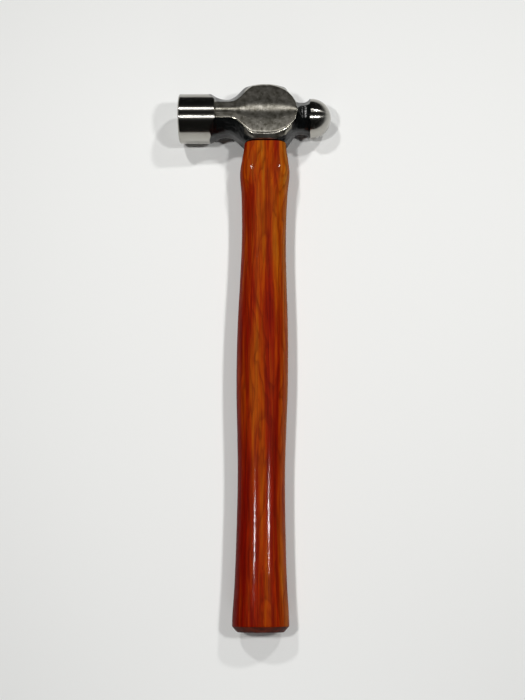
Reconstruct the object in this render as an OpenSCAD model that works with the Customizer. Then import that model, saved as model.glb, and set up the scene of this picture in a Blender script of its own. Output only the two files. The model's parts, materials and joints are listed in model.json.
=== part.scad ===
// Ball peen hammer, 16 oz class: a forged steel head on a turned hickory handle, held in the
// eye by one wooden wedge and two steel wedges. It lies on its side as it rests on a bench.
// The head and handle are laid out in the hammer's own axes: origin at the centre of the eye,
// +X towards the ball, -X towards the striking face, -Y down the handle and +Z out of the
// upper cheek. lying() then tips the whole hammer onto its three points of contact.

/* [Striking end] */
// Diameter of the striking face and of the turned poll
face_d = 31.75; // [28:0.05:35]
// Width and depth of the chamfer round the striking face
face_chamfer = 1.2; // [0.6:0.1:2]
// Distance from the striking face to the centre of the eye
poll_reach = 56.6; // [54:0.1:60]
// Length of the turned poll, up to the shoulder above the cheek
poll_len = 24.9; // [22:0.1:26.5]

/* [Ball end] */
// Diameter of the ball
ball_d = 25.5; // [24:0.05:26.5]
// Distance from the centre of the eye to the tip of the ball
ball_reach = 43; // [42.2:0.1:45]

/* [Forging] */
// Half-height of the neck behind the poll, along the handle
neck_half = 11.6; // [11:0.1:12.6]
// Half-height and half-depth of the neck behind the ball
ball_neck_half = 9.9; // [9.2:0.1:10.4]
// Half-depth of the head at the middle of the ground cheeks
cheek_half = 13.1; // [12.6:0.1:13.4]
// Fall of the cheek from its middle line to its edge
cheek_crown = 0.4; // [0:0.1:0.9]
// Radius of the cheek's round end, seen from the side
cheek_radius = 17.5; // [16.6:0.1:18.2]
// Half-height of the eye body, along the handle
eye_half = 19.6; // [18.5:0.1:20.5]
// Half-depth of the flat rim round the mouth of the eye
rim_half = 10.4; // [9.6:0.1:11]

/* [Eye] */
// Half-length of the eye at its waist
eye_waist_x = 11.8; // [11.2:0.1:12]
// Half-length of the eye at its mouths
eye_mouth_x = 12.6; // [12:0.1:12.8]
// Half-width of the eye at its waist
eye_waist_z = 7.1; // [6.6:0.1:7.3]
// Half-width of the eye at its mouths
eye_mouth_z = 7.8; // [7.3:0.1:8]

/* [Handle] */
// Distance from the centre of the eye to the butt of the handle
butt_reach = 322.3; // [320:0.1:340]
// Length of the chamfer round the butt, along the handle
butt_chamfer_len = 3.3; // [2:0.1:5]
// Depth of the chamfer round the butt, across the handle
butt_chamfer = 3; // [1:0.1:4]
// Fullness of the oval section: 2 is a plain ellipse
fullness = 2; // [2:0.05:2.6]
// Squareness of the handle's section where it meets the head
throat_fullness = 3.6; // [2:0.1:4]
// Sideways lean of the butt towards the striking face
handle_set = 3.4; // [0:0.1:4]

/* [Wedges] */
// Thickness of the wooden wedge at the top of the eye
wood_wedge_top = 4; // [3:0.1:4.6]
// Thickness of the wooden wedge at its lower edge
wood_wedge_toe = 1; // [0.6:0.1:1.4]
// Depth that the wooden wedge is driven to
wood_wedge_depth = 27; // [20:0.5:30]
// Width of each steel wedge
steel_wedge_w = 10.5; // [8:0.5:11]
// Thickness of each steel wedge at the top of the eye
steel_wedge_top = 2.4; // [1.8:0.1:2.8]
// Depth that each steel wedge is driven to
steel_wedge_depth = 15; // [10:0.5:18]
// Distance of each steel wedge from the middle of the eye
steel_wedge_x = 5.6; // [5:0.1:6.5]
// Angle that each steel wedge is turned to, across the wooden wedge
steel_wedge_turn = 24; // [0:1:30]

/* [Hidden] */
$fn = 96;

face_r = face_d / 2;
ball_r = ball_d / 2;
ball_x = ball_reach - ball_r;
shoulder_x = -(poll_reach - poll_len);
clear = 6; // how far cutting and trimming solids run past what they cut

// Where the forging swells, along X
poll_flare_x = -24;
poll_flare_r = 20;
ball_flare_x = 24.8;
ball_flare_r = 5;
shoulder_rise = 2.4; // slope of the step from the cheek up to the poll
body_left = -26.3;
body_right = 23.3;
body_run_left = 14.1;
body_run_right = 11.2;
body_lean = 1.35; // above 1, the flanks hug the neck before they rise
cheek_mid_x = 3;
cheek_left = -24.5;
cheek_run = 17.2;
cheek_lean = 1.4;
cheek_end_x = cheek_mid_x + cheek_radius;
neck_cheek_w = 5.6; // half-width of the ground flat on the neck
neck_side_z = 4.5; // half-width of the neck's side facets
rim_run = 18;
rim_from = 20;
regular = tan(22.5); // facet half-width over half-width across flats, in a regular octagon

// Half-widths (X) and half-thicknesses (Z) of the handle at distances below the eye's centre
HANDLE = [
    [20, 13.6, 9.4],
    [31, 15.0, 9.9],
    [39.7, 16.0, 10.3],
    [54, 14.8, 9.9],
    [83, 14.0, 9.4],
    [113, 14.65, 10.2],
    [135, 15.45, 11.0],
    [160, 15.8, 11.5],
    [183, 15.6, 11.4],
    [209, 14.7, 11.0],
    [236, 14.1, 10.6],
    [275, 14.6, 10.9],
    [297, 15.3, 11.4],
    [319, 16.4, 12.1]
];
handle_end = len(HANDLE) - 1;
set_bend = 0.6; // above 0, the handle leans most near the head
ring_points = 36;
ring_gap = 9; // distance between rings along the handle

// Angles that lay the hammer on the poll's shoulder, the ball and the butt
contact_x = shoulder_x - (face_r - cheek_half) / shoulder_rise;
contact_span = ball_x - contact_x;
roll = atan2(face_r, contact_span) - asin(ball_r / norm([contact_span, face_r]));
head_drop = ball_r + ball_x * sin(roll);
butt_y = -(butt_reach - butt_chamfer_len);
butt_drop = norm([HANDLE[handle_end][1] * sin(roll), HANDLE[handle_end][2] * cos(roll)])
    - handle_set * sin(roll);
pitch = atan((head_drop - butt_drop) / -butt_y);
rest_x = (poll_reach * cos(roll) + (face_r - face_chamfer) * sin(roll)
    - ball_x * cos(roll) - ball_r) / 2;
rest_y = (butt_reach - eye_half) / 2 * cos(pitch);
rest_z = head_drop * cos(pitch);

function clamp01(t) = min(max(t, 0), 1);
function ease(t) = let (u = clamp01(t)) u * u * (3 - 2 * u);
function lean(t, power) = ease(pow(clamp01(t), power));
function mix(a, b, t) = a + (b - a) * t;
// Outward sweep of a fillet of radius r, a distance along from where it starts
function flare(along, r) =
    let (u = min(max(along, 0), 0.9 * r)) r - sqrt(r * r - u * u);

// Half-height of the forging along the handle
function side_y(x) = x < cheek_mid_x
    ? mix(neck_half, eye_half, lean((x - body_left) / body_run_left, body_lean))
        + flare(poll_flare_x - x, poll_flare_r)
    : mix(ball_neck_half, eye_half, lean((body_right - x) / body_run_right, body_lean))
        + flare(x - ball_flare_x, ball_flare_r);
// Half-width of the side facets, across the cheeks
function side_z(x) = x < cheek_mid_x
    ? mix(neck_side_z * (x < body_left ? side_y(x) / neck_half : 1), rim_half,
        ease((x + rim_from) / rim_run))
    : mix(regular * max(ball_neck_half, x > ball_flare_x ? side_y(x) : 0), rim_half,
        ease((rim_from - x) / rim_run));
// Half-width of the ground cheek, along the handle
function cheek_y(x) = x < cheek_mid_x
    ? mix(neck_cheek_w, cheek_radius - 0.4, lean((x - cheek_left) / cheek_run, cheek_lean))
    : x < cheek_end_x - 0.1
        ? max(sqrt(cheek_radius * cheek_radius - pow(x - cheek_mid_x, 2)) - 0.4, 1)
        : mix(1, regular * max(ball_neck_half, side_y(x)), ease((x - cheek_end_x) / 3));
// Half-depth of the forging at its middle line
function cheek_z(x) = x < cheek_end_x
    ? cheek_half + clamp01((shoulder_x - x) / 2) * 2 * shoulder_rise
    : mix(cheek_half, ball_neck_half, ease((x - cheek_end_x) / 3.4))
        + flare(x - ball_flare_x, ball_flare_r);

// One ten-sided section of the forging, clockwise seen from the ball
function head_section(x) =
    let (
        y1 = side_y(x),
        z1 = side_z(x),
        y2 = cheek_y(x),
        z3 = cheek_z(x),
        crown = x < cheek_end_x ? cheek_crown * y2 / cheek_radius : 0,
        z2 = z3 - crown
    )
    [for (p = [[0, z3], [y2, z2], [y1, z1], [y1, -z1], [y2, -z2],
               [0, -z3], [-y2, -z2], [-y1, -z1], [-y1, z1], [-y2, z2]]) [x, p[0], p[1]]];

// One oval section across the handle, clockwise seen from the butt
function oval_section(y, half_x, half_z, mid_x = 0, full = fullness) =
    [for (i = [0:ring_points - 1])
        let (t = 360 * i / ring_points, s = sin(t), c = cos(t))
        [mid_x + half_x * sign(s) * pow(abs(s), 2 / full), y,
         half_z * sign(c) * pow(abs(c), 2 / full)]];

// The eye is an hourglass: it widens from its waist to its two mouths
function eye_section(y) =
    let (t = pow(min(abs(y) / eye_half, 1), 2))
    oval_section(y, mix(eye_waist_x, eye_mouth_x, t), mix(eye_waist_z, eye_mouth_z, t));
eye_stations = [for (i = [3:-1:-3]) eye_half * i / 3];

// Smooth curve through the rows of HANDLE: k is 1 for the width and 2 for the thickness
function tangent(i, k) = i == 0 || i == handle_end ? 0
    : (HANDLE[i + 1][k] - HANDLE[i - 1][k]) / (HANDLE[i + 1][0] - HANDLE[i - 1][0]);
function row_at(d, i = 0) = i >= handle_end - 1 || d <= HANDLE[i + 1][0] ? i : row_at(d, i + 1);
function handle_half(d, k) =
    let (
        i = row_at(d),
        run = HANDLE[i + 1][0] - HANDLE[i][0],
        u = clamp01((d - HANDLE[i][0]) / run),
        bend0 = run * tangent(i, k),
        bend1 = run * tangent(i + 1, k)
    )
    HANDLE[i][k] * (2 * pow(u, 3) - 3 * pow(u, 2) + 1)
        + bend0 * (pow(u, 3) - 2 * pow(u, 2) + u)
        + HANDLE[i + 1][k] * (3 * pow(u, 2) - 2 * pow(u, 3))
        + bend1 * (pow(u, 3) - pow(u, 2));
function handle_mid(d) =
    let (u = clamp01((d - eye_half) / (handle_to - eye_half)))
    -handle_set * u * (1 + set_bend * (1 - u));
function handle_full(d) = mix(throat_fullness, fullness, ease((d - 24) / 34));
handle_from = HANDLE[0][0];
handle_to = butt_reach - butt_chamfer_len;
handle_rings = ceil((handle_to - handle_from) / ring_gap);
handle_stations =
    [for (i = [0:handle_rings]) mix(handle_from, handle_to, i / handle_rings)];

// Solid skinned over a row of sections that have the same number of points
module loft(rings) {
    n = len(rings[0]);
    last = (len(rings) - 1) * n;
    first_cap = [for (j = [n - 1:-1:0]) j];
    last_cap = [for (j = [0:n - 1]) last + j];
    sides = [for (i = [0:n:last - n], j = [0:n - 1])
        let (k = (j + 1) % n)
        each [[i + j, i + k, i + n + k], [i + j, i + n + k, i + n + j]]];
    polyhedron([for (ring = rings) each ring], concat([first_cap, last_cap], sides));
}

// Faceted body of the head before the poll and the ball are turned
module forging() {
    stations = concat(
        [-poll_reach - clear],
        [for (i = [0:7]) shoulder_x - 7 + i],
        [for (i = [1:12]) mix(shoulder_x, -8, i / 12)],
        [for (x = [-4:4:12]) x],
        [for (i = [1:6]) mix(12, cheek_end_x, i / 6)],
        [for (i = [1:7]) mix(cheek_end_x, ball_flare_x, i / 7)],
        [for (i = [1:6]) ball_flare_x + 0.9 * ball_flare_r * i / 6],
        [ball_reach + clear]
    );
    loft([for (x = stations) head_section(x)]);
}

// Turned outline: poll with its chamfered face, ball, and room for the forging between them
module turning() {
    rotate([0, 90, 0]) {
        translate([0, 0, -poll_reach])
            cylinder(h = face_chamfer, r1 = face_r - face_chamfer, r2 = face_r);
        translate([0, 0, -poll_reach + face_chamfer])
            cylinder(h = poll_len + 1 - face_chamfer, r = face_r);
        translate([0, 0, shoulder_x + 1])
            cylinder(h = ball_x - 3 - shoulder_x - 1, r = 2 * face_r);
        translate([0, 0, ball_x])
            sphere(r = ball_r);
    }
}

module eye_cutter() {
    loft(concat([eye_section(eye_half + clear)],
        [for (y = eye_stations) eye_section(y)],
        [eye_section(-eye_half - clear)]));
}

// Blank of the handle: the tongue that fills the eye, the grip and the chamfered butt
module handle_blank() {
    end_x = HANDLE[handle_end][1];
    end_z = HANDLE[handle_end][2];
    past = 1 + clear / butt_chamfer_len;
    intersection() {
        loft(concat(
            [for (y = eye_stations) eye_section(y)],
            [for (d = handle_stations)
                oval_section(-d, handle_half(d, 1), handle_half(d, 2), handle_mid(d),
                    handle_full(d))],
            [oval_section(-handle_to - butt_chamfer_len * past,
                end_x - butt_chamfer * past, end_z - butt_chamfer * past, -handle_set)]));
        translate([-face_d, -butt_reach, -face_d])
            cube([2 * face_d, butt_reach + eye_half, 2 * face_d]);
    }
}

// Tapered prism standing in the top of the eye, thin in X
module wedge_prism(top, toe, depth, width) {
    translate([0, 0, -width / 2])
        linear_extrude(height = width)
            polygon([[-top / 2, eye_half], [top / 2, eye_half],
                     [toe / 2, eye_half - depth], [-toe / 2, eye_half - depth]]);
}

module wood_wedge_prism() {
    rotate([0, 90, 0])
        wedge_prism(wood_wedge_top, wood_wedge_toe, wood_wedge_depth, 4 * eye_mouth_x);
}

module steel_wedge_prism(side) {
    translate([side * steel_wedge_x, 0, 0])
        rotate([0, side * steel_wedge_turn, 0])
            wedge_prism(steel_wedge_top, 0.5, steel_wedge_depth, steel_wedge_w);
}

// Tips the hammer onto its three points of contact and stands it on Z = 0
module lying() {
    translate([rest_x, rest_y, rest_z])
        rotate([pitch, 0, 0])
            rotate([0, roll, 0])
                children();
}

module head() {
    color("#4A4B4C") lying() difference() {
        intersection() {
            forging();
            turning();
        }
        eye_cutter();
    }
}

module handle() {
    color("#C4581A") lying() difference() {
        handle_blank();
        wood_wedge_prism();
        steel_wedge_prism(-1);
        steel_wedge_prism(1);
    }
}

module wood_wedge() {
    color("#D9B483") lying() difference() {
        intersection() {
            handle_blank();
            wood_wedge_prism();
        }
        steel_wedge_prism(-1);
        steel_wedge_prism(1);
    }
}

module steel_wedge(side) {
    color("#8A8C8F") lying() steel_wedge_prism(side);
}

head();
handle();
wood_wedge();
steel_wedge(-1);  // steel_wedge_poll
steel_wedge(1);  // steel_wedge_ball
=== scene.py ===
"""Looks of the ball peen hammer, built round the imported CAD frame.

Lengths are millimetres in the hammer's own axes unless a name says otherwise: the origin is the
centre of the eye, +X points to the ball, -Y down the handle and +Z out of the upper cheek.
"""
import json
import math

import bmesh
import bpy
import numpy as np
from mathutils import Matrix, Vector


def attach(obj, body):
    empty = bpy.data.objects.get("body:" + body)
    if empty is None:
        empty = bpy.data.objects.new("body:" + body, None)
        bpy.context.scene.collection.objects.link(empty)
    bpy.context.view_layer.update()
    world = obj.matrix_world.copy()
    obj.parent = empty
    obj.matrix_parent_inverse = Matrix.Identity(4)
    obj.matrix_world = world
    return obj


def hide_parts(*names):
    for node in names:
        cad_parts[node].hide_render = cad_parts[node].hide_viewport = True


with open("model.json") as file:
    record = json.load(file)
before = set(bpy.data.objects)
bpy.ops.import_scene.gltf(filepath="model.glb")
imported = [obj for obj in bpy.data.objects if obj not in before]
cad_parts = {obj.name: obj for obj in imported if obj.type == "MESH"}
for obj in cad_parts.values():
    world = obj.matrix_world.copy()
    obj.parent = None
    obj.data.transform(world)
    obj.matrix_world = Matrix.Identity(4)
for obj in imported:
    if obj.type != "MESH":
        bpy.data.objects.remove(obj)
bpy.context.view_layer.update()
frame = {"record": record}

MM = 0.001

# ---------------------------------------------------------------- sizes
# As in the CAD source, but for the cheeks, which have their close form here.
FACE_R = 15.875
FACE_CHAMFER = 1.2
POLL_REACH = 56.6
SHOULDER_X = -31.7
BALL_R = 12.75
BALL_REACH = 43.0
BALL_X = BALL_REACH - BALL_R
FACE_CROWN = 0.25
SHOULDER_LAP = 1  # overlap of the poll's turning and the forging
BALL_LIP = 3  # the ball is turned from this far behind its centre
BALL_UNDER = 0.012  # keeps the ball's tip inside the CAD box

NECK_HALF = 11.6
NECK_SIDE_Z = 4.5
NECK_CHEEK_W = 5.6
BALL_NECK_HALF = 9.9
POLL_FLARE_X, POLL_FLARE_R = -24.0, 20
BALL_FLARE_X, BALL_FLARE_R = 24.8, 5
FLARE_SHARE = 0.9  # part of a flare's quarter circle that is used
BODY_LEFT, BODY_RUN_LEFT = -26.3, 14.1
BODY_RIGHT, BODY_RUN_RIGHT = 23.3, 11.2
BODY_LEAN = 1.35
SHOULDER_RISE = 2.4
CHEEK_HALF = 12.9
CHEEK_RADIUS = 17.5
CHEEK_MID_X = 3.0
CHEEK_LEFT, CHEEK_RUN, CHEEK_LEAN = -24.5, 17.2, 1.4
RIM_FROM, RIM_RUN = 20, 18
CHEEK_END_X = CHEEK_MID_X + CHEEK_RADIUS
CHEEK_LIP, CHEEK_DROP = 3, 3.4  # runs from the cheek's end to the ball's neck
EYE_HALF = 19.6
RIM_HALF = 10.4
REGULAR = math.tan(math.radians(22.5))

EYE_WAIST = (11.8, 7.1)
EYE_MOUTH = (12.6, 7.8)
FULLNESS = 2.0
THROAT_FULLNESS = 3.6
THROAT_FROM, THROAT_RUN = 24, 34

BUTT_REACH = 322.3
BUTT_CHAMFER_LEN = 3.3
BUTT_CHAMFER = 3.0
HANDLE_TO = BUTT_REACH - BUTT_CHAMFER_LEN
HANDLE_SET = 3.4
SET_BEND = 0.6
# Distance below the eye's centre, half-width in X, half-thickness in Z
HANDLE = np.array([
    [20, 13.6, 9.4], [31, 15.0, 9.9], [39.7, 16.0, 10.3], [54, 14.8, 9.9], [83, 14.0, 9.4],
    [113, 14.65, 10.2], [135, 15.45, 11.0], [160, 15.8, 11.5], [183, 15.6, 11.4],
    [209, 14.7, 11.0], [236, 14.1, 10.6], [275, 14.6, 10.9], [297, 15.3, 11.4],
    [319, 16.4, 12.1],
])

WOOD_WEDGE = dict(top=4.0, toe=1.0, depth=27.0)
STEEL_WEDGE = dict(top=2.4, toe=0.5, depth=15.0)
STEEL_WEDGE_W = 10.5
STEEL_WEDGE_X = 5.6
STEEL_WEDGE_TURN = 24.0

# ---------------------------------------------------------------- the hammer's axes in the frame
MOUNTS = {m["name"]: m for m in frame["record"]["mounts"]}
x_axis = -Vector(MOUNTS["striking_face"]["axis"]).normalized()
y_axis = -Vector(MOUNTS["butt_end"]["axis"])
y_axis = (y_axis - x_axis * y_axis.dot(x_axis)).normalized()
z_axis = x_axis.cross(y_axis)
eye = Vector(MOUNTS["striking_face"]["pos_m"]) + x_axis * POLL_REACH * MM
HAMMER = Matrix((x_axis, y_axis, z_axis)).transposed().to_4x4()
HAMMER.translation = eye


# ---------------------------------------------------------------- curves
def clamp01(t):
    return np.clip(t, 0, 1)


def ease(t):
    u = clamp01(t)
    return u * u * (3 - 2 * u)


def lean(t, power):
    return ease(clamp01(t) ** power)


def mix(a, b, t):
    return a + (b - a) * t


def flare(run, r):
    u = np.minimum(np.maximum(run, 0), FLARE_SHARE * r)
    return r - np.sqrt(r * r - u * u)


def side_y(x):
    """Half-height of the forging along the handle."""
    if x < CHEEK_MID_X:
        grow = lean((x - BODY_LEFT) / BODY_RUN_LEFT, BODY_LEAN)
        return mix(NECK_HALF, EYE_HALF, grow) + flare(POLL_FLARE_X - x, POLL_FLARE_R)
    grow = lean((BODY_RIGHT - x) / BODY_RUN_RIGHT, BODY_LEAN)
    return mix(BALL_NECK_HALF, EYE_HALF, grow) + flare(x - BALL_FLARE_X, BALL_FLARE_R)


def side_z(x):
    """Half-width of the side facets, across the cheeks."""
    if x < CHEEK_MID_X:
        grow = side_y(x) / NECK_HALF if x < BODY_LEFT else 1
        return mix(NECK_SIDE_Z * grow, RIM_HALF, ease((x + RIM_FROM) / RIM_RUN))
    neck = max(BALL_NECK_HALF, side_y(x) if x > BALL_FLARE_X else 0)
    return mix(REGULAR * neck, RIM_HALF, ease((RIM_FROM - x) / RIM_RUN))


def cheek_y(x):
    """Half-width of the ground cheek, along the handle."""
    widest = CHEEK_RADIUS - 0.4
    if x < CHEEK_MID_X:
        return mix(NECK_CHEEK_W, widest, lean((x - CHEEK_LEFT) / CHEEK_RUN, CHEEK_LEAN))
    if x < CHEEK_END_X - 0.1:
        return max(math.sqrt(CHEEK_RADIUS ** 2 - (x - CHEEK_MID_X) ** 2) - 0.4, 1)
    neck = REGULAR * max(BALL_NECK_HALF, side_y(x))
    return mix(1, neck, ease((x - CHEEK_END_X) / CHEEK_LIP))


def cheek_z(x):
    """Half-depth of the forging at its middle line."""
    if x < CHEEK_END_X:
        return CHEEK_HALF + clamp01((SHOULDER_X - x) / 2) * 2 * SHOULDER_RISE
    drop = ease((x - CHEEK_END_X) / CHEEK_DROP)
    return mix(CHEEK_HALF, BALL_NECK_HALF, drop) + flare(x - BALL_FLARE_X, BALL_FLARE_R)


def oval(half_x, half_z, count, full=FULLNESS):
    """Superellipse outline, counted from +Z towards +X."""
    t = 2 * np.pi * np.arange(count) / count
    s, c = np.sin(t), np.cos(t)
    return np.stack([half_x * np.sign(s) * np.abs(s) ** (2 / full),
                     half_z * np.sign(c) * np.abs(c) ** (2 / full)], 1)


def eye_half(y):
    t = min(abs(y) / EYE_HALF, 1) ** 2
    return mix(EYE_WAIST[0], EYE_MOUTH[0], t), mix(EYE_WAIST[1], EYE_MOUTH[1], t)


def handle_half(d, column):
    """Smooth curve through the rows of HANDLE."""
    place, value = HANDLE[:, 0], HANDLE[:, column]
    slope = np.zeros(len(value))
    slope[1:-1] = (value[2:] - value[:-2]) / (place[2:] - place[:-2])
    i = int(np.clip(np.searchsorted(place, d, side="right") - 1, 0, len(value) - 2))
    run = place[i + 1] - place[i]
    u = clamp01((d - place[i]) / run)
    return (value[i] * (2 * u ** 3 - 3 * u ** 2 + 1) + run * slope[i] * (u ** 3 - 2 * u ** 2 + u)
            + value[i + 1] * (3 * u ** 2 - 2 * u ** 3) + run * slope[i + 1] * (u ** 3 - u ** 2))


def handle_full(d):
    """Squareness of the handle's section, highest where it meets the head."""
    return mix(THROAT_FULLNESS, FULLNESS, ease((d - THROAT_FROM) / THROAT_RUN))


def handle_mid(d):
    """The handle's middle in X, which leans towards the striking face."""
    u = clamp01((d - EYE_HALF) / (HANDLE_TO - EYE_HALF))
    return -HANDLE_SET * u * (1 + SET_BEND * (1 - u))


# ---------------------------------------------------------------- mesh helpers
def new_object(name, points, faces, materials=(), smooth=True):
    """Mesh object in the hammer's axes from points in millimetres."""
    mesh = bpy.data.meshes.new(name)
    mesh.from_pydata((np.asarray(points, float) * MM).tolist(), [], faces)
    bm = bmesh.new()
    bm.from_mesh(mesh)
    bmesh.ops.recalc_face_normals(bm, faces=bm.faces)
    bm.to_mesh(mesh)
    bm.free()
    for material in materials:
        mesh.materials.append(material)
    mesh.polygons.foreach_set("use_smooth", [smooth] * len(mesh.polygons))
    obj = bpy.data.objects.new(name, mesh)
    bpy.context.scene.collection.objects.link(obj)
    return obj


def loft(name, rings, materials=()):
    """Closed skin over rings that have the same number of points."""
    rings = np.asarray(rings, float)
    count, n = rings.shape[:2]
    faces = []
    for i in range(count - 1):
        a, b = i * n, (i + 1) * n
        faces += [(a + j, a + (j + 1) % n, b + (j + 1) % n, b + j) for j in range(n)]
    faces.append(tuple(range(n - 1, -1, -1)))
    faces.append(tuple(range((count - 1) * n, count * n)))
    return new_object(name, rings.reshape(-1, 3), faces, materials)


def lathe(name, profile, segments, materials=()):
    """Solid of revolution about X from (x, radius) rows whose first and last radius is 0."""
    profile = np.asarray(profile, float)
    turn = 2 * np.pi * np.arange(segments) / segments
    rings = [np.stack([np.full(segments, x), r * np.cos(turn), r * np.sin(turn)], 1)
             for x, r in profile[1:-1]]
    points = np.concatenate([[[profile[0][0], 0, 0]], *rings, [[profile[-1][0], 0, 0]]])
    last = len(points) - 1
    faces = [(0, 1 + (j + 1) % segments, 1 + j) for j in range(segments)]
    for i in range(len(rings) - 1):
        a, b = 1 + i * segments, 1 + (i + 1) * segments
        faces += [(a + j, a + (j + 1) % segments, b + (j + 1) % segments, b + j)
                  for j in range(segments)]
    a = last - segments
    faces += [(a + j, a + (j + 1) % segments, last) for j in range(segments)]
    return new_object(name, points, faces, materials)


def cut(obj, tool, operation):
    """Boolean of obj with tool, applied, with the tool then removed."""
    modifier = obj.modifiers.new("cut", "BOOLEAN")
    modifier.operation = operation
    modifier.object = tool
    modifier.solver = "MANIFOLD"
    settle(obj)
    bpy.data.objects.remove(tool)


def settle(obj):
    """Applies the modifiers of obj to its mesh."""
    bpy.context.view_layer.update()
    evaluated = obj.evaluated_get(bpy.context.evaluated_depsgraph_get())
    mesh = bpy.data.meshes.new_from_object(evaluated)
    obj.modifiers.clear()
    old = obj.data
    obj.data = mesh
    mesh.name = old.name
    bpy.data.meshes.remove(old)


def shade(obj, angle):
    """Smooth shading with edges sharper than angle kept sharp."""
    obj.data.polygons.foreach_set("use_smooth", [True] * len(obj.data.polygons))
    obj.data.set_sharp_from_angle(angle=math.radians(angle))


def rounded(before, at, after, radius, count):
    """Points that round a corner, from one leg to the other."""
    before, at, after = (np.asarray(p, float) for p in (before, at, after))
    a = at + (before - at) * min(radius / np.linalg.norm(before - at), 0.45)
    b = at + (after - at) * min(radius / np.linalg.norm(after - at), 0.45)
    t = np.linspace(0, 1, count)[:, None]
    return (1 - t) ** 2 * a + 2 * t * (1 - t) * at + t ** 2 * b


def along(a, b, count):
    """Points between a and b, without either."""
    t = np.linspace(0, 1, count + 2)[1:-1, None]
    return np.asarray(a, float) * (1 - t) + np.asarray(b, float) * t


# ---------------------------------------------------------------- node helpers
class Nodes:
    """Short forms for building one material's node tree."""

    def __init__(self, name):
        self.material = bpy.data.materials.new(name)
        self.material.use_nodes = True
        self.tree = self.material.node_tree
        self.shader = self.tree.nodes["Principled BSDF"]
        self.coords = None

    def add(self, kind, inputs=(), **settings):
        node = self.tree.nodes.new("ShaderNode" + kind)
        for key, value in settings.items():
            setattr(node, key, value)
        for key, value in dict(inputs).items():
            self.put(node.inputs[key], value)
        return node

    def put(self, socket, value):
        if isinstance(value, bpy.types.NodeSocket):
            self.tree.links.new(value, socket)
        else:
            socket.default_value = value

    def set(self, **values):
        for key, value in values.items():
            self.put(self.shader.inputs[key.replace("_", " ")], value)

    def math(self, operation, a, b=0.0, clamp=False):
        node = self.add("Math", {0: a, 1: b}, operation=operation)
        node.use_clamp = clamp
        return node.outputs[0]

    def place(self, scale, offset=(0, 0, 0)):
        """Object coordinates in millimetres, stretched by scale."""
        if not self.coords:
            back = HAMMER.inverted()
            self.coords = self.add("Mapping", {
                "Vector": self.add("TexCoord").outputs["Object"],
                "Location": back.translation, "Rotation": back.to_euler()}).outputs[0]
        return self.add("Mapping", {"Vector": self.coords, "Location": offset,
                                    "Scale": [s / MM for s in scale]}).outputs[0]

    def noise(self, scale, offset=(0, 0, 0), detail=2.0, rough=0.5, distort=0.0, vector=None):
        vector = vector or self.place(scale, offset)
        return self.add("TexNoise", {"Vector": vector, "Scale": 1.0, "Detail": detail,
                                     "Roughness": rough, "Distortion": distort}).outputs[0]

    def ramp(self, value, stops, mode="LINEAR"):
        node = self.add("ValToRGB", {0: value})
        node.color_ramp.interpolation = mode
        elements = node.color_ramp.elements
        while len(elements) < len(stops):
            elements.new(0.5)
        for element, (position, colour) in zip(elements, stops):
            element.position = position
            if not isinstance(colour, tuple):
                colour = (colour, colour, colour)
            element.color = (*colour, 1)
        return node.outputs[0]

    def blend(self, factor, a, b, mode="MIX"):
        node = self.add("Mix", data_type="RGBA", blend_type=mode)
        for socket, value in zip((node.inputs[0], node.inputs[6], node.inputs[7]),
                                 (factor, a, b)):
            if isinstance(value, tuple):
                value = (*value, 1)
            self.put(socket, value)
        return node.outputs[2]

    def bump(self, height, distance, strength=1.0, normal=None):
        node = self.add("Bump", {"Height": height, "Distance": distance * MM,
                                 "Strength": strength})
        if normal:
            self.put(node.inputs["Normal"], normal)
        return node.outputs[0]

    def axes(self):
        """Object coordinates in millimetres as three numbers."""
        node = self.add("SeparateXYZ", {0: self.place((1, 1, 1))})
        return node.outputs[0], node.outputs[1], node.outputs[2]


def srgb(*values):
    """Linear colour from 0-255 display values."""
    v = np.array(values) / 255
    return tuple(float(x) for x in np.where(v <= 0.04045, v / 12.92, ((v + 0.055) / 1.055) ** 2.4))


# ---------------------------------------------------------------- materials
def turned_steel():
    """Bright turned and polished steel of the poll and the ball."""
    n = Nodes("turned_steel")
    rings = n.noise((2.2, 0.05, 0.05), detail=3, rough=0.6)
    cloud = n.noise((0.12, 0.12, 0.12), detail=3)
    tint = n.blend(n.ramp(cloud, [(0.35, 0.0), (0.7, 1.0)]), (0.44, 0.43, 0.40),
                   (0.38, 0.365, 0.33))
    n.set(Base_Color=tint, Metallic=1.0, Anisotropic=0.96, Anisotropic_Rotation=0.25,
          Roughness=n.ramp(rings, [(0.3, 0.19), (0.7, 0.23)]),
          Tangent=n.add("Tangent", direction_type="RADIAL", axis="X").outputs[0],
          Normal=n.bump(rings, 0.001))
    return n.material


def ground_steel():
    """Belt-ground steel of the cheeks, satin, with pits left by the scale."""
    n = Nodes("ground_steel")
    scratch = n.noise((2.2, 0.12, 0.12), detail=4, rough=0.65)
    mottle = n.noise((0.35, 0.35, 0.35), (3, 1, 2), detail=5, rough=0.65)
    pits = n.ramp(n.noise((0.9, 0.9, 0.9), (5, 2, 1), detail=2), [(0.25, 0.0), (0.33, 1.0)])
    tint = n.blend(n.ramp(mottle, [(0.35, 0.0), (0.65, 1.0)]), (0.15, 0.14, 0.11),
                   (0.46, 0.44, 0.39))
    tint = n.blend(pits, (0.10, 0.09, 0.07), tint)
    n.set(Base_Color=tint, Metallic=0.88, Anisotropic=0.95, Anisotropic_Rotation=0.25,
          Roughness=n.ramp(scratch, [(0.3, 0.16), (0.7, 0.21)]),
          Tangent=n.add("Tangent", direction_type="RADIAL", axis="X").outputs[0],
          Normal=n.bump(pits, 0.012, normal=n.bump(scratch, 0.002)))
    return n.material


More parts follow.
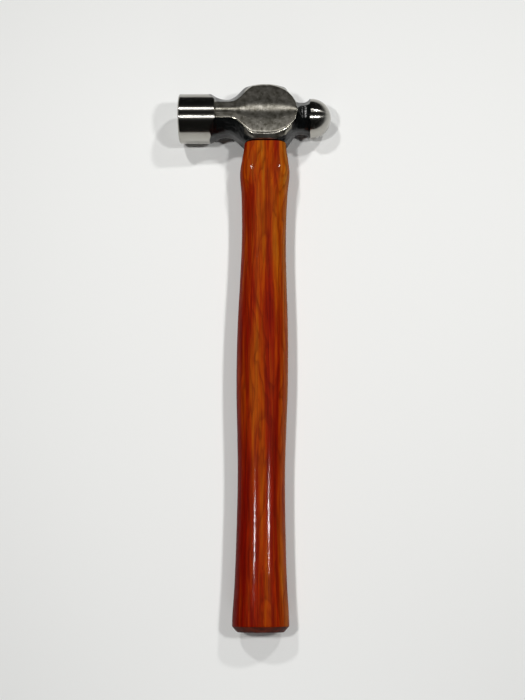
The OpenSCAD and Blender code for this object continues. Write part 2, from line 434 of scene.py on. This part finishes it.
def black_paint():
    """Thin black enamel over the forged skin."""
    n = Nodes("black_paint")
    skin = n.noise((0.45, 0.45, 0.45), detail=3)
    fine = n.noise((2.5, 2.5, 2.5), (7, 0, 3), detail=2)
    tint = n.blend(n.ramp(skin, [(0.35, 0.0), (0.65, 1.0)]), srgb(3, 4, 5), srgb(9, 12, 12))
    n.set(Base_Color=tint, Roughness=n.ramp(fine, [(0.3, 0.20), (0.7, 0.28)]), Metallic=0.0,
          Specular_IOR_Level=0.5, Normal=n.bump(fine, 0.03, normal=n.bump(skin, 0.25)))
    return n.material


def eye_steel():
    """Raw forged steel inside the eye."""
    n = Nodes("eye_steel")
    skin = n.noise((0.8, 0.8, 0.8), detail=4)
    n.set(Base_Color=n.ramp(skin, [(0.3, (0.05, 0.045, 0.04)), (0.7, (0.13, 0.12, 0.11))]),
          Metallic=0.8, Roughness=0.6, Normal=n.bump(skin, 0.1))
    return n.material


def hickory():
    """Stained hickory under gloss lacquer."""
    n = Nodes("lacquered_hickory")
    x, y, z = n.axes()
    drift = n.noise((0.05, 0.013, 0.05), (4, 2, 9), detail=3, rough=0.5, distort=0.5)
    wander = n.noise((0.16, 0.02, 0.16), (1, 7, 3), detail=2)
    ring = n.math("ADD", n.math("ADD", z, n.math("MULTIPLY", x, 0.3)),
                  n.math("ADD", n.math("MULTIPLY", drift, 17.0), n.math("MULTIPLY", wander, 2.4)))
    phase = n.math("FRACT", n.math("DIVIDE", ring, 2.7))
    late = n.ramp(phase, [(0.0, 0.85), (0.12, 0.2), (0.4, 0.0), (0.75, 0.4), (1.0, 0.85)])
    streak = n.noise((0.24, 0.009, 0.24), (2, 5, 8), detail=4, rough=0.6)
    across = n.math("ADD", n.math("MULTIPLY", x, 1 / 34), 0.58)
    band = n.ramp(across, [(0.08, 0.0), (0.42, 0.20), (0.72, 0.11), (0.95, 0.36)])
    heart = n.math("ADD", streak, band)
    heart = n.math("ADD", heart, n.math("MULTIPLY", y, 0.0004))
    heart = n.math("SUBTRACT", heart, 0.10, clamp=True)
    base = n.ramp(heart, [(0.30, srgb(108, 9, 0)), (0.42, srgb(128, 27, 0)),
                          (0.54, srgb(148, 54, 1)), (0.68, srgb(158, 76, 4)),
                          (0.82, srgb(160, 94, 22))])
    base = n.blend(n.math("MULTIPLY", late, 0.6), base, srgb(84, 9, 1))
    fibre = n.noise((1.7, 0.035, 1.7), (9, 1, 4), detail=4, rough=0.6)
    base = n.blend(1.0, base, n.ramp(fibre, [(0.3, 0.66), (0.7, 1.26)]), "MULTIPLY")
    pores = n.noise((2.6, 0.12, 2.6), (3, 3, 3), detail=2)
    pore = n.ramp(pores, [(0.66, 0.0), (0.72, 1.0)])
    base = n.blend(n.math("MULTIPLY", pore, 0.5), base, srgb(60, 12, 2))
    sparkle = n.noise((1.3, 0.55, 1.3), (6, 6, 1), detail=2)
    n.set(Base_Color=base, Roughness=0.5, Specular_IOR_Level=0.03,
          Coat_Weight=n.ramp(sparkle, [(0.42, 0.02), (0.60, 0.22)]), Coat_Roughness=0.05,
          Coat_Normal=n.bump(sparkle, 0.03), Normal=n.bump(fibre, 0.03))
    return n.material


def end_grain(name, light, dark):
    """Sawn or driven wood seen across the grain."""
    n = Nodes(name)
    pores = n.noise((1.6, 0.2, 1.6), detail=4, rough=0.7)
    rings = n.noise((0.15, 0.02, 0.6), (1, 1, 1), detail=3)
    tint = n.ramp(rings, [(0.35, dark), (0.65, light)])
    n.set(Base_Color=n.blend(1.0, tint, n.ramp(pores, [(0.35, 0.55), (0.6, 1.1)]), "MULTIPLY"),
          Roughness=0.62, Specular_IOR_Level=0.25, Normal=n.bump(pores, 0.12))
    return n.material


def wedge_steel():
    """Mild steel wedge, hammered flush."""
    n = Nodes("wedge_steel")
    dents = n.noise((0.5, 0.5, 0.5), detail=3)
    n.set(Base_Color=n.ramp(dents, [(0.3, (0.20, 0.19, 0.18)), (0.7, (0.42, 0.41, 0.40))]),
          Metallic=1.0, Roughness=n.ramp(dents, [(0.3, 0.5), (0.7, 0.35)]),
          Normal=n.bump(dents, 0.15))
    return n.material


TURNED, GROUND, PAINT, EYE = turned_steel(), ground_steel(), black_paint(), eye_steel()
WOOD = hickory()
END_GRAIN = end_grain("butt_end_grain", srgb(96, 30, 8), srgb(58, 12, 3))
WEDGE_WOOD = end_grain("wedge_end_grain", srgb(205, 160, 110), srgb(160, 112, 70))
WEDGE_STEEL = wedge_steel()


# ---------------------------------------------------------------- head
CROWN = 0.12  # rise of the cheek's middle over its edge
CHEEK_SKEW = 0.06  # slope of the hand-ground cheek along its middle
SKEW_Y = 1.5  # middle of the sloping strip
SKEW_REACH = 0.5  # its half-width as a share of the cheek's
CHEEK_TILT = 0.02  # slope of the rest of the cheek, the other way
POLISH_FROM, POLISH_FROM_RUN = -16, 6
POLISH_TO, POLISH_TO_RUN = 19, 5
CROWN_POINTS, CORNER_POINTS, FACET_POINTS, SIDE_POINTS = 41, 9, 7, 9


def polished(x):
    """1 where the eye body is ground down to its bevels, 0 where it is as forged."""
    return ease((x - POLISH_FROM) / POLISH_FROM_RUN) * ease((POLISH_TO - x) / POLISH_TO_RUN)


def half_section(x):
    """Upper half of one section of the forging, from +Y over the cheek to -Y, as (y, z)."""
    y1, z1, y2, z3 = side_y(x), side_z(x), cheek_y(x), cheek_z(x)
    crown = CROWN * y2 / CHEEK_RADIUS if x < CHEEK_END_X else 0
    polish = polished(x)
    cheek_round = mix(0.5, 1.7, polish)
    forged_round = mix(2.0, 1.2, polish)
    cheek, side, low = (y2, z3 - crown), (y1, z1), (y1, 0)
    top = (0.5 * y2, z3 - crown * 0.25)
    a = rounded(low, side, cheek, forged_round, CORNER_POINTS)
    b = rounded(side, cheek, top, cheek_round, CORNER_POINTS)
    quarter = np.concatenate([along(low, a[0], SIDE_POINTS), a,
                              along(a[-1], b[0], FACET_POINTS), b])
    reach = b[-1][0]
    ys = np.linspace(reach, -reach, CROWN_POINTS + 2)[1:-1]
    edge = b[-1][1]
    off = ys - SKEW_Y * clamp01(y2 / CHEEK_RADIUS)
    skew = CHEEK_SKEW * off * clamp01(1 - (off / (SKEW_REACH * reach)) ** 2) ** 2
    zs = edge + (z3 - edge) * (1 - (ys / reach) ** 2) + skew
    mirrored = quarter[::-1] * [-1, 1]
    section = np.concatenate([quarter, np.stack([ys, zs], 1), mirrored])
    rise = clamp01((section[:, 1] - z1) / max(edge - z1, 0.1))
    fade = 1 - ease((x - CHEEK_END_X) / CHEEK_DROP)
    section[:, 1] -= CHEEK_TILT * fade * section[:, 0] * rise
    return section


def forging():
    """Faceted body of the head before its ends are turned."""
    xs = np.concatenate([[-POLL_REACH - 6], np.arange(-39.6, 31.2, 0.3), [BALL_REACH + 6]])
    rings = []
    for x in xs:
        upper = half_section(x)
        outline = np.concatenate([upper, upper[::-1] * [1, -1]])
        rings.append(np.column_stack([np.full(len(outline), x), outline]))
    return loft("head", rings, (PAINT,))


def turning():
    """Turned outline of the poll and the ball, with room between them for the forging."""
    face = [(-POLL_REACH + FACE_CROWN * (r / 13) ** 2, r) for r in np.linspace(0, 14.2, 12)]
    c, r = FACE_CHAMFER, FACE_R
    start = face[-1][0]
    edge = rounded((start, 12), (start + 0.05, r - c + 0.15), (-POLL_REACH + c, r), 0.5, 6)
    heel = rounded(edge[-1], (-POLL_REACH + c, r), (-50, r), 0.5, 6)
    poll = [(x, r) for x in np.linspace(-55, SHOULDER_X + SHOULDER_LAP, 40)]
    start_angle = math.acos(-BALL_LIP / BALL_R)
    ball_r = BALL_R - BALL_UNDER
    arc = [(BALL_X + ball_r * math.cos(t), ball_r * math.sin(t))
           for t in np.linspace(start_angle, 0, 72)]
    profile = [*face[:-1], *edge, *heel, *poll, (SHOULDER_X + SHOULDER_LAP, 2 * r),
               (BALL_X - BALL_LIP, 2 * r), *arc]
    profile[-1] = (BALL_X + ball_r, 0)
    return lathe("turning", profile, 256, (TURNED,))


def eye_cutter():
    ys = np.linspace(EYE_HALF, -EYE_HALF, 27)
    rings = []
    for y in [EYE_HALF + 6, *ys, -EYE_HALF - 6]:
        outline = oval(*eye_half(y), 128)
        rings.append(np.column_stack([outline[:, 0], np.full(128, y), outline[:, 1]]))
    return loft("eye_cutter", rings, (EYE,))


def paint_head(head):
    """Gives each face of the head its surface: turned, ground, painted or inside the eye."""
    mesh = head.data
    mesh.materials.clear()
    painted, ground, turned, inside = range(4)
    for material in (PAINT, GROUND, TURNED, EYE):
        mesh.materials.append(material)
    count = len(mesh.polygons)
    centre = np.zeros(count * 3)
    normal = np.zeros(count * 3)
    mesh.polygons.foreach_get("center", centre)
    mesh.polygons.foreach_get("normal", normal)
    centre, normal = centre.reshape(-1, 3) / MM, normal.reshape(-1, 3)
    index = np.full(count, painted)
    for i, ((x, y, z), (nx, ny, nz)) in enumerate(zip(centre, normal)):
        r = math.hypot(y, z)
        in_eye = -13 < x < 13.2 and abs(y) < EYE_HALF - 0.01 and abs(z) < 8
        if x < SHOULDER_X + 1.2 and (r > FACE_R - 0.05 or x < -POLL_REACH + 3):
            index[i] = turned
        elif x > BALL_X - BALL_LIP - 0.05 and abs(math.hypot(x - BALL_X, r) - BALL_R) < 0.05:
            index[i] = turned
        elif in_eye and ny * y <= 0.2 * abs(y):
            index[i] = inside
        elif SHOULDER_X - 3 < x < CHEEK_END_X + 0.4:
            crown = CROWN * cheek_y(x) / CHEEK_RADIUS
            on_cheek = abs(y) < cheek_y(x) + 0.05 and abs(z) > cheek_z(x) - crown - 0.6
            on_bevel = abs(z) > RIM_HALF - 0.2 and abs(y) < EYE_HALF - 0.1
            if on_cheek or (polished(x) > 0.35 and on_bevel):
                index[i] = ground
    mesh.polygons.foreach_set("material_index", index)


def make_head():
    head = forging()
    cut(head, turning(), "INTERSECT")
    cut(head, eye_cutter(), "DIFFERENCE")
    paint_head(head)
    shade(head, 32)
    return head


# ---------------------------------------------------------------- handle and wedges
SNUG = 0.03


def prism(top, toe, depth, width, turn=None):
    """Tapered wedge standing in the top of the eye, thin in X before it is turned."""
    ys = np.linspace(EYE_HALF, EYE_HALF - depth, 9)
    halves = np.linspace(top / 2, toe / 2, 9)
    rings = []
    for y, h in zip(ys, halves):
        corners = [(-h, -width / 2), (h, -width / 2), (h, width / 2), (-h, width / 2)]
        loop = []
        for k in range(4):
            loop.append(rounded(corners[k - 1], corners[k], corners[(k + 1) % 4], 0.3, 4))
        loop = np.concatenate(loop)
        rings.append(np.column_stack([loop[:, 0], np.full(len(loop), y), loop[:, 1]]))
    rings = np.array(rings)
    if turn is not None:
        rings = rings @ np.array(turn).T
    return rings


def about_y(degrees):
    return np.array(Matrix.Rotation(math.radians(degrees), 3, "Y"))


def steel_wedge_rings(side, grow=0.0):
    rings = prism(STEEL_WEDGE["top"] + grow, STEEL_WEDGE["toe"] + grow,
                  STEEL_WEDGE["depth"], STEEL_WEDGE_W + grow,
                  about_y(side * STEEL_WEDGE_TURN))
    return rings + [side * STEEL_WEDGE_X, 0, 0]


def wood_wedge_rings(length, grow=0.0):
    return prism(WOOD_WEDGE["top"] + grow, WOOD_WEDGE["toe"] + grow, WOOD_WEDGE["depth"],
                 length, about_y(90))


def extended(rings, past=3.0):
    """The same rings carried above the eye, for use as a cutter."""
    first = rings[:1] + [0, past, 0]
    return np.concatenate([first, rings])


def handle_rings(points=128):
    rings = []
    for y in np.linspace(EYE_HALF, -EYE_HALF, 27):
        hx, hz = eye_half(y)
        outline = oval(hx - SNUG, hz - SNUG, points)
        rings.append(np.column_stack([outline[:, 0], np.full(points, y), outline[:, 1]]))
    end = HANDLE_TO
    for d in np.concatenate([np.linspace(HANDLE[0][0], 60, 60), np.arange(61, end - 1, 0.9)]):
        outline = oval(handle_half(d, 1) - SNUG, handle_half(d, 2) - SNUG, points, handle_full(d))
        rings.append(np.column_stack([outline[:, 0] + handle_mid(d), np.full(points, -d),
                                      outline[:, 1]]))
    hx, hz = HANDLE[-1][1:]
    steps = rounded((end - 1, 0), (end, 0), (BUTT_REACH, BUTT_CHAMFER), 0.8, 5)
    lip = rounded((end, 0), (BUTT_REACH, BUTT_CHAMFER), (BUTT_REACH, 8), 0.7, 5)
    for d, inset in [*steps, *lip, (BUTT_REACH, 6)]:
        outline = oval(hx - SNUG - inset, hz - SNUG - inset, points)
        rings.append(np.column_stack([outline[:, 0] - HANDLE_SET, np.full(points, -d),
                                      outline[:, 1]]))
    return np.array(rings)


def make_handle():
    rings = handle_rings()
    handle = loft("handle", rings, (WOOD,))
    for side in (-1, 1):
        cut(handle, loft("slot", extended(steel_wedge_rings(side, SNUG))), "DIFFERENCE")
    cut(handle, loft("slot", extended(wood_wedge_rings(4 * EYE_MOUTH[0], SNUG))), "DIFFERENCE")
    mesh = handle.data
    mesh.materials.clear()
    mesh.materials.append(WOOD)
    mesh.materials.append(END_GRAIN)
    for polygon in mesh.polygons:
        y = polygon.center[1] / MM
        if y > EYE_HALF - 0.05 or y < -BUTT_REACH + BUTT_CHAMFER_LEN - 0.15:
            polygon.material_index = 1
    shade(handle, 35)
    return handle


def make_wood_wedge():
    wedge = loft("wood_wedge_piece", wood_wedge_rings(4 * EYE_MOUTH[0]), (WEDGE_WOOD,))
    ys = np.linspace(EYE_HALF + 1, -EYE_HALF, 15)
    rings = []
    for y in ys:
        hx, hz = eye_half(y)
        outline = oval(hx - SNUG, hz - SNUG, 96)
        rings.append(np.column_stack([outline[:, 0], np.full(96, y), outline[:, 1]]))
    cut(wedge, loft("eye_fill", rings), "INTERSECT")
    for side in (-1, 1):
        cut(wedge, loft("slot", extended(steel_wedge_rings(side, SNUG))), "DIFFERENCE")
    wedge.data.materials.clear()
    wedge.data.materials.append(WEDGE_WOOD)
    shade(wedge, 30)
    return wedge


def make_steel_wedge(side, name):
    wedge = loft(name, steel_wedge_rings(side), (WEDGE_STEEL,))
    shade(wedge, 30)
    return wedge


def install(piece, node):
    """Lays a piece that was built in the hammer's axes in the frame, in place of its CAD node."""
    piece.data.transform(HAMMER)
    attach(piece, "root")
    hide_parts(node)


# ---------------------------------------------------------------- floor, lamps and camera
FLOOR_HALF = 4.0  # metres


def make_floor():
    mesh = bpy.data.meshes.new("floor")
    s = FLOOR_HALF
    mesh.from_pydata([(-s, -s, 0), (s, -s, 0), (s, s, 0), (-s, s, 0)], [], [(0, 1, 2, 3)])
    floor = bpy.data.objects.new("floor", mesh)
    bpy.context.scene.collection.objects.link(floor)
    n = Nodes("white_board")
    n.set(Base_Color=(0.80, 0.81, 0.805, 1), Roughness=0.55, Specular_IOR_Level=0.3)
    mesh.materials.append(n.material)


def hammer_point(x, y, z):
    return HAMMER @ (Vector((x, y, z)) * MM)


LAMP_HEIGHT = 700.0
LAMP_SIZE = 70.0
LAMP_POWER = 2.05
LAMP_COLOUR = (1.0, 0.99, 0.975)
LAMP_AIM = (0, -80, 0)
LAMPS = ((365, 330), (-295, 298), (365, -194), (-295, -201))
FILL_AT, FILL_SIZE, FILL_POWER = (0, -560, 200), 200, 0.2


def area_lamp(name, at, aim, size, power, colour=(1, 1, 1)):
    """Round lamp at one point of the hammer's axes, turned to another."""
    data = bpy.data.lights.new(name, "AREA")
    data.shape = "DISK"
    data.size = size * MM
    data.energy = power
    data.color = colour
    lamp = bpy.data.objects.new(name, data)
    bpy.context.scene.collection.objects.link(lamp)
    lamp.location = hammer_point(*at)
    turn = hammer_point(*aim) - lamp.location
    lamp.rotation_euler = turn.to_track_quat("-Z", "Y").to_euler()
    lamp.visible_camera = False
    return lamp


def make_lamps():
    for i, (x, y) in enumerate(LAMPS):
        area_lamp(f"lamp_{i}", (x, y, LAMP_HEIGHT), LAMP_AIM, LAMP_SIZE, LAMP_POWER, LAMP_COLOUR)


def make_fill():
    """Weak light from beyond the butt, so the floor under it isn't black."""
    fill = area_lamp("fill", FILL_AT, (0, -BUTT_REACH, 0), FILL_SIZE, FILL_POWER)
    fill.visible_glossy = False


WORLD_STRENGTH = 0.012


def make_world():
    world = bpy.data.worlds.new("room")
    world.use_nodes = True
    background = world.node_tree.nodes["Background"]
    background.inputs["Color"].default_value = (1.0, 0.98, 0.95, 1)
    background.inputs["Strength"].default_value = WORLD_STRENGTH
    bpy.context.scene.world = world


CAMERA_AT = (-2.06, -297.81, 555.42)
CAMERA_PITCH = 14.3
CAMERA_ROLL = -0.1
FOCAL_SHARE = 4 / 3


def make_camera():
    data = bpy.data.cameras.new("camera")
    data.sensor_width = 36
    data.lens = 36 * FOCAL_SHARE
    data.clip_start = 0.01
    camera = bpy.data.objects.new("camera", data)
    bpy.context.scene.collection.objects.link(camera)
    p, r = math.radians(CAMERA_PITCH), math.radians(CAMERA_ROLL)
    forward = Vector((0, math.sin(p), -math.cos(p)))
    level = Vector((0, math.cos(p), math.sin(p)))
    right = Vector((math.cos(r), 0, 0)) + level * math.sin(r)
    up = level * math.cos(r) - Vector((math.sin(r), 0, 0))
    turn = Matrix((right, up, -forward)).transposed().to_4x4()
    turn.translation = Vector(CAMERA_AT) * MM
    camera.matrix_world = HAMMER @ turn
    bpy.context.scene.camera = camera


# ---------------------------------------------------------------- the scene
make_camera()
make_world()
make_lamps()
make_fill()
make_floor()
bpy.context.scene.view_settings.view_transform = "Standard"

install(make_head(), "head")
install(make_handle(), "handle")
install(make_wood_wedge(), "wood_wedge")
install(make_steel_wedge(-1, "steel_wedge_poll_piece"), "steel_wedge_poll")
install(make_steel_wedge(1, "steel_wedge_ball_piece"), "steel_wedge_ball")
